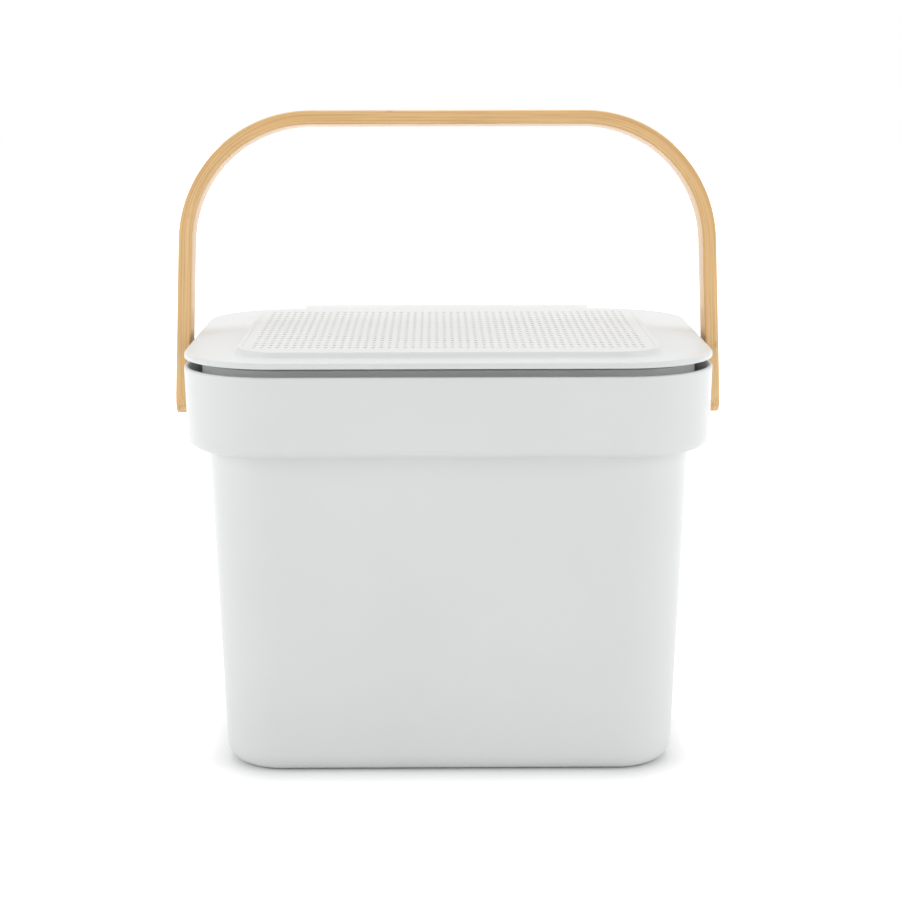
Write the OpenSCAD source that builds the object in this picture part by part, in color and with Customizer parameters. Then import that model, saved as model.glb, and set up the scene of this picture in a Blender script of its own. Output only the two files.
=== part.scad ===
// Kitchen compost caddy: a tapered outer bin with a wide stepped collar, a lift-out inner bucket,
// a flat hinged lid with a raised vent plateau and an odour filter below it, and a bent bamboo
// strip handle on two side pivots.
// Frame: Z up with the base's underside at Z = 0, X across, +Y towards the hinge at the back.

/* [Bin] */
// Width of the bin across its rim
bin_w = 240.5; // [210:0.5:280]
// Depth of the bin across its rim, front to back
bin_d = 190.5; // [165:0.5:230]
// Height of the rim above the base
rim_h = 187; // [165:1:230]
// Corner radius of the rim, seen from above
corner_r = 42.75; // [38:0.25:50]
// Thickness of the bin's walls
bin_wall = 2.2; // [1.8:0.1:2.6]
// Thickness of the bin's floor
bin_floor = 2.5; // [2:0.1:4]
// Taper of the body's walls, in degrees
body_draft = 2.22; // [1.2:0.02:3]
// Radius where the walls turn into the base
base_r = 9; // [8:0.5:16]

/* [Collar] */
// Height of the stepped collar, down from the rim
collar_h = 37; // [33:1:46]
// How far the collar's lower edge stands out from the body
collar_step = 9.5; // [8.5:0.1:11]
// Taper of the collar's wall, in degrees
collar_draft = 1.5; // [0.6:0.1:2.4]
// Radius of the collar's lower edge
collar_edge_r = 5; // [3.5:0.5:6]
// Radius of the inside corner below the collar
collar_root_r = 1.5; // [0.8:0.1:2.5]

/* [Inner bucket] */
// Gap between the inner bucket and the bin's walls
bucket_gap = 1; // [0.6:0.1:1.6]
// Thickness of the inner bucket's walls
bucket_wall = 1.8; // [1.4:0.1:2.2]
// Thickness of the inner bucket's floor
bucket_floor = 2; // [1.5:0.1:3]
// How far the inner bucket's rim stands above the bin's rim
bucket_rise = 2.1; // [1.2:0.1:2.6]
// How far the inner bucket's lip stands out from its wall
lip_w = 4; // [2.5:0.1:5]
// Height of the lip's turned-down edge
lip_h = 6; // [4:0.5:9]

/* [Lid] */
// Gap between the bin's rim and the lid's flange
lid_gap = 3.6; // [3.2:0.1:5]
// Thickness of the lid's flange
lid_t = 3; // [2.6:0.1:4]
// How far the lid's edge stays inside the bin's rim
lid_inset = 0.25; // [0:0.05:0.8]
// Radius of the flange's upper edge
lid_edge_r = 1.2; // [0.6:0.1:1.4]
// Radius of the flange's lower edge
lid_under_r = 0.5; // [0.3:0.1:1]
// Depth of the locating skirt below the flange
skirt_h = 8; // [5:0.5:10]
// Thickness of the locating skirt
skirt_t = 1.6; // [1.2:0.1:2]
// Gap between the locating skirt and the inner bucket
skirt_gap = 1.2; // [0.8:0.1:1.6]

/* [Seal] */
// Gap between the seal and the inner bucket's rim
seal_gap = 0.3; // [0.2:0.05:0.6]
// Width of the seal
seal_w = 1.8; // [1.4:0.1:2.4]
// Depth of the seal's groove in the flange
seal_groove = 0.8; // [0.5:0.1:1.2]

/* [Plateau] */
// Width of the raised plateau's top
plateau_w = 189; // [186:0.5:196]
// Depth of the raised plateau's top, front to back
plateau_d = 149.6; // [146:0.2:156]
// Height of the plateau above the flange
plateau_rise = 3.4; // [2.6:0.1:5]
// Corner radius of the plateau's top, seen from above
plateau_r = 20; // [16:0.5:26]
// How far the plateau's middle lies in front of the bin's middle
plateau_shift = 10.8; // [6:0.2:12]
// Lean of the plateau's sides, in degrees
plateau_draft = 19; // [10:1:30]
// Radius of the hollow at the plateau's foot
plateau_foot_r = 2.4; // [1.2:0.1:3]
// Radius of the plateau's upper edge
plateau_crown_r = 0.8; // [0.4:0.1:1.2]
// Thickness of the plateau's sides over the pocket below it
plateau_wall = 2.2; // [1.6:0.1:2.6]

/* [Vent] */
// Diameter of each vent hole
hole_d = 2; // [1.2:0.1:2.6]
// Spacing of the holes across the lid
hole_pitch_x = 3.55; // [3.3:0.01:3.56]
// Spacing of the holes from front to back
hole_pitch_y = 7.2; // [4:0.1:7.3]
// Number of holes across
hole_cols = 50; // [20:1:50]
// Number of rows from front to back
hole_rows = 18; // [6:1:18]
// Thickness of the vent panel
panel_t = 2; // [1.4:0.1:2.4]
// Width of the ledge that carries the vent panel
panel_ledge = 2; // [1:0.1:2.2]
// Width of the plateau's rim at each side of the vent panel
panel_rim = 2; // [1.6:0.1:4]
// Clearance round the vent panel in its seat
panel_fit = 0.1; // [0.05:0.05:0.2]

/* [Filter] */
// Gap between the filter well and the locating skirt in front of it
well_gap = 1.6; // [1.2:0.1:3]
// Corner radius of the filter well, inside
well_r = 8; // [5:0.5:12]
// Thickness of the well's wall
well_wall = 1.6; // [1.2:0.1:2]
// Thickness of the odour filter
filter_t = 6.4; // [4:0.2:8]
// Clearance round the filter and the tray in the well
filter_gap = 0.3; // [0.2:0.05:0.6]
// Thickness of the filter tray's plate
tray_t = 1.5; // [1.2:0.1:2.5]
// Height of the tray's upstand inside the well
tray_upstand = 1.7; // [1.2:0.1:3]
// Number of slots in each row of the tray
tray_slots = 8; // [4:1:12]
// Number of rows of slots in the tray
tray_rows = 3; // [2:1:5]
// Width of the bars between the tray's slots
tray_bar = 6; // [3:0.5:8]
// Distance from the tray's slots to the well's walls
tray_margin = 9; // [6:0.5:12]

/* [Hinge] */
// Distance from the bin's back wall to the hinge axis
hinge_back = 5.95; // [5.9:0.05:8]
// Height of the hinge axis above the rim
hinge_up = 2; // [1:0.1:3]
// Radius of the lid's hinge barrel and of its hoods over the ears
barrel_r = 5.6; // [5.2:0.1:5.6]
// Radius of the bin's hinge ears
ear_r = 4.1; // [3.6:0.1:4.2]
// Length of the lid's hinge knuckle
knuckle_l = 104; // [60:1:110]
// Length of each of the bin's two hinge ears
ear_l = 22; // [14:0.5:26]
// Gap between each ear and the lid's knuckle and hood
knuckle_gap = 0.3; // [0.2:0.05:0.6]
// Depth of the ears' gussets below the rim
ear_h = 17; // [10:0.5:24]
// Lift of the hoods' back edges above the hinge axis, in degrees
hood_lift = 16; // [12:1:30]
// Radius of the hinge pin
hinge_pin_r = 1.5; // [1.2:0.1:2]
// Radial clearance of the lid's knuckle on the pin
hinge_fit = 0.06; // [0.03:0.01:0.1]
// Radial clearance of the pin in the ears
ear_fit = 0.02; // [0.01:0.01:0.04]
// How far the pin's ends lie inside the ears' ends
pin_recess = 0.5; // [0.3:0.1:2]

/* [Handle] */
// Thickness of the bamboo strip
strip_t = 6.5; // [5.6:0.1:7.5]
// Width of the bamboo strip
strip_w = 19; // [16:0.5:24]
// Height of the handle's top above the pivots, along the strip
handle_reach = 132.25; // [120:0.25:150]
// Outer radius of the handle's two bends
bend_r = 62.9; // [40:0.1:64]
// Outward lean of each arm from the bends down, in degrees
arm_splay = 1.77; // [0.4:0.01:2]
// Backward lean of the handle as it stands, in degrees
handle_lean = 6; // [0:0.5:12]
// Distance from the pivots to the strip's rounded ends
arm_end = 11.5; // [11:0.5:16]

/* [Pivots] */
// Depth of the pivots below the rim
pivot_drop = 20.4; // [17:0.2:22]
// Radius of each pivot screw's shank
shank_r = 3; // [2.5:0.1:3.4]
// Radial clearance of the turning fits at the pivots
pivot_fit = 0.05; // [0.02:0.01:0.1]
// Radial clearance of the bushes in the collar
bush_fit = 0.04; // [0.02:0.01:0.08]
// Radial clearance of the washers and cap nuts on the screws
stub_fit = 0.05; // [0.02:0.01:0.1]
// Radial room round the screw's head in the strip
spot_clearance = 0.5; // [0.3:0.1:0.8]
// End gap between pieces that turn against each other
end_gap = 0.3; // [0.2:0.05:0.5]
// Radius of the round boss outside the collar
boss_r = 9; // [8.6:0.1:10]
// Height of the round boss outside the collar
boss_h = 2.2; // [1.5:0.1:3]
// Height of the boss inside the collar
inner_boss_h = 0.9; // [0.6:0.1:1.5]
// Radius of the bush's flange
bush_flange_r = 8.5; // [7.5:0.1:8.5]
// Thickness of the bush's flange
bush_flange_t = 1.2; // [1:0.1:1.8]
// Wall thickness of the bush's sleeve
bush_wall = 1; // [0.8:0.1:1.3]
// Radius of the screw's head
head_r = 4.8; // [4.2:0.1:5]
// Thickness of the screw's head at its edge
head_t = 1.3; // [1:0.1:1.6]
// Height of the head's dome
head_dome = 0.7; // [0.4:0.1:1]
// Depth of the head's counterbore in the strip
head_sink = 1.6; // [1.4:0.1:1.8]
// Radius of the threaded stub inside the nut
stub_r = 2; // [1.5:0.1:2.2]
// Radius of the washer and of the cap nut
nut_r = 6; // [5.4:0.1:6.4]
// Thickness of the washer
washer_t = 1; // [0.8:0.1:1.2]
// Height of the cap nut
nut_t = 3.7; // [3.2:0.1:4]
// How far the cap nut's corners are turned off
nut_chamfer = 0.3; // [0.1:0.1:0.6]

/* [Hidden] */
$fn = 96;

white = [0.93, 0.94, 0.94];
grey = [0.62, 0.65, 0.66];
steel = [0.75, 0.76, 0.78];
bamboo = [0.84, 0.7, 0.5];
nylon = [0.9, 0.9, 0.88];
charcoal = [0.15, 0.15, 0.16];

// Overlap that lets joined or cut shapes pass through each other's faces
bite = 1;
// Largest share of a wall that the rounding of each of its edges may take
edge_share = 0.45;

// The plan of the bin is a rectangle grown outwards by a distance u: every height has its own u.
plan_w = bin_w - 2 * corner_r;
plan_d = bin_d - 2 * corner_r;
collar_z = rim_h - collar_h;
shelf_z = collar_z + bin_wall;
bucket_top = rim_h + bucket_rise;
lid_z = rim_h + lid_gap;
lid_top = lid_z + lid_t;
lid_u = corner_r - lid_inset;
plateau_z = lid_top + plateau_rise;
panel_z = plateau_z - panel_t;
filter_z = panel_z - end_gap - filter_t;
tray_z = filter_z - tray_upstand - tray_t;
well_z = tray_z + tray_t;
hinge_y = bin_d / 2 + hinge_back;
hinge_z = rim_h + hinge_up;
ear_x = knuckle_l / 2 + knuckle_gap;
pivot_z = rim_h - pivot_drop;

// The pivots' stack along X, from the cap nut inside the collar to the screw's head in the strip,
// whose leaning inner face passes the bush's flange at the end gap
collar_x = plan_w / 2 + collar_u(pivot_z);
inner_boss_x = collar_x - bin_wall - inner_boss_h;
washer_x = inner_boss_x - end_gap;
nut_x = washer_x - washer_t;
boss_x = collar_x + boss_h;
bush_out_x = boss_x + bush_flange_t;
strip_x = bush_out_x + end_gap / cos(arm_splay) + bush_flange_r * tan(arm_splay);
strip_out_x = strip_x + strip_t / cos(arm_splay);
head_x = strip_out_x - head_sink + end_gap;
bush_bore_r = shank_r + pivot_fit;
bush_r = bush_bore_r + bush_wall;

// The handle's bend centres, in the plane of the strip with the pivots at height 0
bend_steps = 24;
bend_z = handle_reach - bend_r;
bend_x = (strip_out_x * cos(arm_splay) - bend_r - bend_z * sin(arm_splay)) / cos(arm_splay);

// How far the outer faces stand out from the plan rectangle at the height z
function collar_u(z) = corner_r - (rim_h - z) * tan(collar_draft);
function body_u(z) = collar_u(collar_z) - collar_step + (z - collar_z) * tan(body_draft);
function bucket_u(z) = body_u(z) - bin_wall - bucket_gap;
skirt_u = bucket_u(bucket_top) - bucket_wall - skirt_gap;
lip_u = bucket_u(bucket_top) + lip_w;

// The filter well fills the plateau's width and reaches forward to the locating skirt
well_w = plateau_w - 2 * (panel_rim + panel_ledge);
well_d = 2 * (plan_d / 2 + skirt_u - skirt_t - well_gap - well_wall - plateau_shift);

function unit(v) = v / norm(v);

// Where a round of radius r meets the two edges that leave a corner along edge_1 and edge_2, and
// the round's centre. Outlines run straight from one meeting point to the other, and the circle
// about the centre is then joined to them at an outer corner or cut from them at an inner one.
function half_angle(edge_1, edge_2) = acos(unit(edge_1) * unit(edge_2)) / 2;
function meet(corner, edge, other, r) = corner + unit(edge) * r / tan(half_angle(edge, other));
function centre(corner, edge_1, edge_2, r) =
    corner + unit(unit(edge_1) + unit(edge_2)) * r / sin(half_angle(edge_1, edge_2));

// A rectangle with round corners, about the origin
module rounded_rect(w, d, r) {
    square([w, d - 2 * r], center = true);
    square([w - 2 * r, d], center = true);
    for (sx = [-1, 1], sy = [-1, 1]) translate([sx * (w / 2 - r), sy * (d / 2 - r)]) circle(r);
}

// Carries a profile, drawn as distance u and height z, once round a rectangle of w by d
module around(w, d) {
    for (turn = [0, 180]) rotate(turn) {
        translate([w / 2, d / 2, 0]) rotate_extrude(angle = 90) children();
        translate([-w / 2, d / 2, 0]) rotate([0, 0, 90]) rotate_extrude(angle = 90) children();
        translate([-w / 2, d / 2, 0]) rotate([90, 0, 90]) linear_extrude(w) children();
        translate([w / 2, d / 2, 0]) rotate([90, 0, 0]) linear_extrude(d) children();
    }
}

// Shapes drawn for the right-hand side, placed on the side s (1 right, -1 left)
module on_side(s) {
    mirror([s < 0 ? 1 : 0, 0, 0]) children();
}

// A cylinder along X at the pivots' axis, between two places on X
module pivot_cylinder(r, from_x, to_x) {
    translate([from_x, 0, pivot_z]) rotate([0, 90, 0]) cylinder(r = r, h = to_x - from_x);
}

// A cylinder along X at the hinge's axis
module hinge_cylinder(r, from_x, to_x) {
    translate([from_x, hinge_y, hinge_z]) rotate([0, 90, 0]) cylinder(r = r, h = to_x - from_x);
}

// ---- Outer bin ----

body_slope = [tan(body_draft), 1];
collar_slope = [tan(collar_draft), 1];
rim_edge_r = bin_wall * edge_share;
in = [-1, 0];
out = [1, 0];

module bin_outside_2d() {
    base = [body_u(0), 0];
    root = [body_u(collar_z), collar_z];
    edge = [collar_u(collar_z), collar_z];
    rim = [corner_r, rim_h];
    difference() {
        polygon([
            [0, 0], meet(base, in, body_slope, base_r), meet(base, body_slope, in, base_r),
            meet(root, -body_slope, out, collar_root_r), meet(root, out, -body_slope, collar_root_r),
            meet(edge, in, collar_slope, collar_edge_r), meet(edge, collar_slope, in, collar_edge_r),
            meet(rim, -collar_slope, in, rim_edge_r), meet(rim, in, -collar_slope, rim_edge_r), [0, rim_h]
        ]);
        translate(centre(root, out, -body_slope, collar_root_r)) circle(collar_root_r);
    }
    translate(centre(base, in, body_slope, base_r)) circle(base_r);
    translate(centre(edge, in, collar_slope, collar_edge_r)) circle(collar_edge_r);
    translate(centre(rim, in, -collar_slope, rim_edge_r)) circle(rim_edge_r);
}

module bin_inside_2d() {
    floor_r = base_r - bin_wall;
    nook_r = collar_edge_r - bin_wall;
    foot = [body_u(bin_floor) - bin_wall, bin_floor];
    shelf = [body_u(shelf_z) - bin_wall, shelf_z];
    nook = [collar_u(shelf_z) - bin_wall, shelf_z];
    rim = [corner_r - bin_wall, rim_h];
    rim_out = meet(rim, out, -collar_slope, rim_edge_r);
    difference() {
        polygon([
            [0, bin_floor], meet(foot, in, body_slope, floor_r), meet(foot, body_slope, in, floor_r),
            meet(shelf, -body_slope, out, rim_edge_r), meet(shelf, out, -body_slope, rim_edge_r),
            meet(nook, in, collar_slope, nook_r), meet(nook, collar_slope, in, nook_r),
            meet(rim, -collar_slope, out, rim_edge_r), rim_out, rim_out + [0, bite], [0, rim_h + bite]
        ]);
        translate(centre(shelf, out, -body_slope, rim_edge_r)) circle(rim_edge_r);
        translate(centre(rim, out, -collar_slope, rim_edge_r)) circle(rim_edge_r);
    }
    translate(centre(foot, in, body_slope, floor_r)) circle(floor_r);
    translate(centre(nook, in, collar_slope, nook_r)) circle(nook_r);
}

module bin_profile_2d() {
    difference() {
        bin_outside_2d();
        bin_inside_2d();
    }
}

// Side view of a hinge ear: a round eye and a gusset that runs down the collar's back wall
module ear_2d() {
    root_y = plan_d / 2 + collar_u(rim_h - ear_h) - bin_wall / 2;
    foot = [root_y, rim_h - ear_h];
    centre = [hinge_y, hinge_z];
    sight = centre - foot;
    tangent_angle = atan2(sight[1], sight[0]) - asin(ear_r / norm(sight));
    touch = foot + sqrt(sight * sight - ear_r * ear_r) * [cos(tangent_angle), sin(tangent_angle)];
    translate(centre) circle(ear_r);
    polygon([foot, touch, centre, [root_y, rim_h - bin_wall]]);
}

module outer_bin() {
    color(white) difference() {
        union() {
            around(plan_w, plan_d) bin_profile_2d();
            translate([-plan_w / 2, -plan_d / 2, 0]) cube([plan_w, plan_d, bin_floor]);
            for (s = [-1, 1]) on_side(s) {
                pivot_cylinder(boss_r, collar_x - bin_wall / 2, boss_x);
                pivot_cylinder(bush_flange_r, inner_boss_x, collar_x - bin_wall / 2);
                translate([ear_x, 0, 0]) rotate([90, 0, 90]) linear_extrude(ear_l) ear_2d();
            }
        }
        for (s = [-1, 1]) on_side(s) {
            pivot_cylinder(bush_r + bush_fit, inner_boss_x - bite, boss_x + bite);
            hinge_cylinder(hinge_pin_r + ear_fit, ear_x - bite, ear_x + ear_l + bite);
        }
    }
}

// ---- Inner bucket ----

module bucket_profile_2d() {
    inside_z = bin_floor + bucket_floor;
    foot_r = base_r - bin_wall;
    well_foot_r = foot_r - bucket_wall;
    edge_r = bucket_wall * edge_share;
    down = [0, -1];
    foot = [bucket_u(bin_floor), bin_floor];
    lip = [lip_u, bucket_top];
    lip_under = bucket_top - bucket_wall;
    lip_end = bucket_top - lip_h;
    inner_foot = [bucket_u(inside_z) - bucket_wall, inside_z];
    inner_rim = [bucket_u(bucket_top) - bucket_wall, bucket_top];
    inner_rim_out = meet(inner_rim, out, -body_slope, edge_r);
    difference() {
        union() {
            polygon([
                [0, bin_floor], meet(foot, in, body_slope, foot_r), meet(foot, body_slope, in, foot_r),
                [bucket_u(lip_under), lip_under], [lip_u - bucket_wall, lip_under],
                [lip_u - bucket_wall, lip_end], [lip_u, lip_end],
                meet(lip, down, in, edge_r), meet(lip, in, down, edge_r), [0, bucket_top]
            ]);
            translate(centre(foot, in, body_slope, foot_r)) circle(foot_r);
            translate(centre(lip, in, down, edge_r)) circle(edge_r);
        }
        difference() {
            polygon([
                [0, inside_z], meet(inner_foot, in, body_slope, well_foot_r),
                meet(inner_foot, body_slope, in, well_foot_r), meet(inner_rim, -body_slope, out, edge_r),
                inner_rim_out, inner_rim_out + [0, bite], [0, bucket_top + bite]
            ]);
            translate(centre(inner_rim, out, -body_slope, edge_r)) circle(edge_r);
        }
        translate(centre(inner_foot, in, body_slope, well_foot_r)) circle(well_foot_r);
    }
}

module inner_bucket() {
    color(grey) {
        around(plan_w, plan_d) bucket_profile_2d();
        translate([-plan_w / 2, -plan_d / 2, bin_floor]) cube([plan_w, plan_d, bucket_floor]);
    }
}

// ---- Hinge pin ----

module hinge_pin() {
    end_x = ear_x + ear_l - pin_recess;
    color(steel) hinge_cylinder(hinge_pin_r, -end_x, end_x);
}

// ---- Lid ----

module flange_2d() {
    up = [0, 1];
    top = [lid_u, lid_top];
    under = [lid_u, lid_z];
    polygon([
        [0, lid_z], meet(under, in, up, lid_under_r), meet(under, up, in, lid_under_r),
        meet(top, -up, in, lid_edge_r), meet(top, in, -up, lid_edge_r), [0, lid_top]
    ]);
    translate(centre(under, in, up, lid_under_r)) circle(lid_under_r);
    translate(centre(top, in, -up, lid_edge_r)) circle(lid_edge_r);
}

module plateau_2d() {
    side = [tan(plateau_draft), -1];
    crown = [plateau_r, plateau_z];
    foot = crown + plateau_rise * side;
    foot_out = meet(foot, out, -side, plateau_foot_r);
    difference() {
        polygon([
            [0, lid_z], [foot_out[0], lid_z], foot_out, meet(foot, -side, out, plateau_foot_r),
            meet(crown, side, in, plateau_crown_r), meet(crown, in, side, plateau_crown_r), [0, plateau_z]
        ]);
        translate(centre(foot, out, -side, plateau_foot_r)) circle(plateau_foot_r);
    }
    translate(centre(crown, in, side, plateau_crown_r)) circle(plateau_crown_r);
}

// Room below the plateau, between the filter well and the plateau's sides
module plateau_pocket() {
    pocket_w = plateau_w - 2 * plateau_wall;
    pocket_d = plateau_d - 2 * plateau_wall;
    pocket_h = plateau_z - plateau_wall - lid_z;
    translate([0, -plateau_shift, lid_z - bite]) linear_extrude(pocket_h + bite) difference() {
        rounded_rect(pocket_w, pocket_d, plateau_r - plateau_wall);
        rounded_rect(well_w + 2 * well_wall + 2 * panel_ledge, well_d + 2 * well_wall, well_r);
        square([plateau_w, well_d / 2], center = true);
    }
}

// Side view of the room for an ear inside the lid's hinge: round it, and open below the hood
module ear_room_2d() {
    room_r = ear_r + knuckle_gap;
    far = 2 * barrel_r;
    translate([hinge_y, hinge_z]) {
        circle(room_r);
        polygon([[0, 0], [-far, 0], [-far, -far], [far, -far], [far, far * tan(hood_lift)]]);
    }
}

module lid() {
    hinge_l = 2 * (ear_x + ear_l);
    plateau_core_w = plateau_w - 2 * plateau_r;
    plateau_core_d = plateau_d - 2 * plateau_r;
    color(white) difference() {
        union() {
            around(plan_w, plan_d) flange_2d();
            translate([-plan_w / 2, -plan_d / 2, lid_z]) cube([plan_w, plan_d, lid_t]);
            translate([0, -plateau_shift, 0]) {
                around(plateau_core_w, plateau_core_d) plateau_2d();
                translate([-plateau_core_w / 2, -plateau_core_d / 2, lid_z])
                    cube([plateau_core_w, plateau_core_d, plateau_z - lid_z]);
                translate([0, 0, well_z]) linear_extrude(lid_z + bite - well_z)
                    rounded_rect(well_w + 2 * well_wall, well_d + 2 * well_wall, well_r + well_wall);
            }
            around(plan_w, plan_d) translate([skirt_u - skirt_t, lid_z - skirt_h])
                square([skirt_t, skirt_h + bite]);
            hinge_cylinder(barrel_r, -hinge_l / 2, hinge_l / 2);
            translate([-hinge_l / 2, plan_d / 2 + lid_u - bite, lid_z])
                cube([hinge_l, hinge_y - plan_d / 2 - lid_u + bite, lid_t]);
        }
        for (s = [-1, 1]) on_side(s) translate([knuckle_l / 2, 0, 0])
            rotate([90, 0, 90]) linear_extrude(hinge_l) ear_room_2d();
        plateau_pocket();
        around(plan_w, plan_d) seal_groove_2d();
        translate([0, -plateau_shift, well_z - bite]) linear_extrude(panel_z - well_z + 2 * bite)
            rounded_rect(well_w, well_d, well_r);
        translate([0, -plateau_shift, panel_z]) linear_extrude(panel_t + bite) panel_outline_2d(0);
        hinge_cylinder(hinge_pin_r + hinge_fit, -knuckle_l / 2 - bite, knuckle_l / 2 + bite);
    }
}

// ---- Vent panel ----

// The panel's outline, drawn in from its seat all round by a gap
module panel_outline_2d(gap) {
    ledge = panel_ledge - gap;
    rounded_rect(well_w + 2 * ledge, well_d + 2 * ledge, well_r + ledge);
}

module vent_panel() {
    first_x = -(hole_cols - 1) * hole_pitch_x / 2;
    first_y = -(hole_rows - 1) * hole_pitch_y / 2;
    color(white) translate([0, -plateau_shift, panel_z]) linear_extrude(panel_t) difference() {
        panel_outline_2d(panel_fit);
        for (col = [0:hole_cols - 1], row = [0:hole_rows - 1])
            translate([first_x + col * hole_pitch_x, first_y + row * hole_pitch_y]) circle(d = hole_d);
    }
}

// ---- Seal ----

module seal_groove_2d() {
    translate([lip_u - seal_w, lid_z - bite]) square([seal_w, seal_groove + bite]);
}

module lid_seal() {
    seal_z = bucket_top + seal_gap;
    color(grey) around(plan_w, plan_d) translate([lip_u - seal_w, seal_z])
        square([seal_w, lid_z + seal_groove - seal_z]);
}

// ---- Filter and tray ----

module charcoal_filter() {
    color(charcoal) translate([0, -plateau_shift, filter_z]) linear_extrude(filter_t)
        rounded_rect(well_w - 2 * filter_gap, well_d - 2 * filter_gap, well_r - filter_gap);
}

module filter_tray() {
    step_x = (well_w - 2 * tray_margin + tray_bar) / tray_slots;
    step_y = (well_d - 2 * tray_margin + tray_bar) / tray_rows;
    slot_w = step_x - tray_bar;
    slot_r = slot_w / 4;
    upstand_w = well_w - 2 * filter_gap;
    upstand_d = well_d - 2 * filter_gap;
    upstand_r = well_r - filter_gap;
    color(white) translate([0, -plateau_shift, tray_z]) {
        linear_extrude(tray_t) difference() {
            rounded_rect(well_w + 2 * well_wall, well_d + 2 * well_wall, well_r + well_wall);
            for (col = [0:tray_slots - 1], row = [0:tray_rows - 1])
                translate([(col - (tray_slots - 1) / 2) * step_x, (row - (tray_rows - 1) / 2) * step_y])
                    rounded_rect(slot_w, step_y - tray_bar, slot_r);
        }
        translate([0, 0, tray_t]) linear_extrude(tray_upstand) difference() {
            rounded_rect(upstand_w, upstand_d, upstand_r);
            rounded_rect(upstand_w - 2 * well_wall, upstand_d - 2 * well_wall, upstand_r - well_wall);
        }
    }
}

// ---- Pivots ----

module bush(s) {
    color(nylon) on_side(s) difference() {
        union() {
            pivot_cylinder(bush_r, inner_boss_x, boss_x + bush_flange_t / 2);
            pivot_cylinder(bush_flange_r, boss_x, bush_out_x);
        }
        pivot_cylinder(bush_bore_r, inner_boss_x - bite, bush_out_x + bite);
    }
}

// Half outline of the screw, radius against place along its axis: stub, shank and domed head
module screw_2d() {
    head_top = head_x + head_t + head_dome;
    dome_r = (head_r * head_r + head_dome * head_dome) / (2 * head_dome);
    stub_end = nut_x - nut_t + washer_t;
    translate([0, stub_end]) square([stub_r, washer_x + bite - stub_end]);
    translate([0, washer_x]) square([shank_r, head_x + head_t / 2 - washer_x]);
    intersection() {
        translate([0, head_x]) square([head_r, head_t + head_dome + bite]);
        translate([0, head_top - dome_r]) circle(dome_r);
    }
}

module pivot_screw(s) {
    color(steel) on_side(s) translate([0, 0, pivot_z]) rotate([0, 90, 0]) rotate_extrude() screw_2d();
}

module washer(s) {
    color(steel) on_side(s) difference() {
        pivot_cylinder(nut_r, nut_x, washer_x);
        pivot_cylinder(stub_r + stub_fit, nut_x - bite, washer_x + bite);
    }
}

module pivot_nut(s) {
    blind_end = nut_x - nut_t + washer_t;
    color(steel) on_side(s) difference() {
        intersection() {
            translate([nut_x - nut_t, 0, pivot_z]) rotate([0, 90, 0])
                cylinder(r = nut_r, h = nut_t, $fn = 6);
            pivot_cylinder(nut_r - nut_chamfer, nut_x - nut_t, nut_x);
        }
        pivot_cylinder(stub_r + stub_fit, blind_end, nut_x + bite);
    }
}

// ---- Handle ----

// Points on one face of the strip, in the plane of the arch: up the right arm from its foot, round
// the right bend of the radius r and over the bar to the left foot
function right_face(r, arm_l) =
    let (arm_out = [cos(arm_splay), sin(arm_splay)], arm_down = [sin(arm_splay), -cos(arm_splay)])
    concat([[bend_x, bend_z] + r * arm_out + arm_l * arm_down], [
        for (step = [0:bend_steps])
            let (a = arm_splay + step * (90 - arm_splay) / bend_steps)
            [bend_x + r * cos(a), bend_z + r * sin(a)]
    ]);
function mirrored(points) = [for (p = reversed(points)) [-p[0], p[1]]];
function reversed(points) = [for (k = [len(points) - 1:-1:0]) points[k]];
function strip_face(r, arm_l) = concat(right_face(r, arm_l), mirrored(right_face(r, arm_l)));

// Front view of the strip: two arms, two bends and the bar
module arch_2d() {
    arm_l = (bend_z + arm_end + strip_t) / cos(arm_splay);
    polygon(concat(strip_face(bend_r, arm_l), reversed(strip_face(bend_r - strip_t, arm_l))));
}

// Side view of the strip: straight edges down to a full round below the pivot
module strip_side_2d() {
    end_r = strip_w / 2;
    translate([-end_r, end_r - arm_end]) square([strip_w, handle_reach + arm_end]);
    translate([0, end_r - arm_end]) circle(end_r);
}

module handle() {
    reach_x = strip_out_x + strip_t;
    color(bamboo) difference() {
        translate([0, 0, pivot_z]) rotate([-handle_lean, 0, 0]) intersection() {
            translate([0, strip_w, 0]) rotate([90, 0, 0]) linear_extrude(2 * strip_w) arch_2d();
            translate([-reach_x, 0, 0]) rotate([90, 0, 90]) linear_extrude(2 * reach_x) strip_side_2d();
        }
        for (s = [-1, 1]) on_side(s) {
            pivot_cylinder(shank_r + pivot_fit, strip_x - bite, strip_out_x + bite);
            pivot_cylinder(head_r + spot_clearance, head_x - end_gap, strip_out_x + bite);
        }
    }
}

outer_bin();
inner_bucket();
hinge_pin();
bush(-1);  // bush_left
bush(1);  // bush_right
lid();
vent_panel();
lid_seal();
charcoal_filter();
filter_tray();
pivot_screw(-1);  // pivot_screw_left
pivot_screw(1);  // pivot_screw_right
washer(-1);  // washer_left
washer(1);  // washer_right
pivot_nut(-1);  // pivot_nut_left
pivot_nut(1);  // pivot_nut_right
handle();
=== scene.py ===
# %% [markdown]
# # A kitchen compost caddy, dressed for its photograph
# The caddy is already built as exact solids with working joints. Those solids come in as a fixed
# frame, and this lesson gives them their looks: smooth surfaces worked out with numpy for the big
# mouldings and for the bent bamboo handle, and materials made of nodes. The frame is in metres. The
# sizes below are in millimetres and become metres when a mesh is made.

# %% Load the frame
import math

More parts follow.
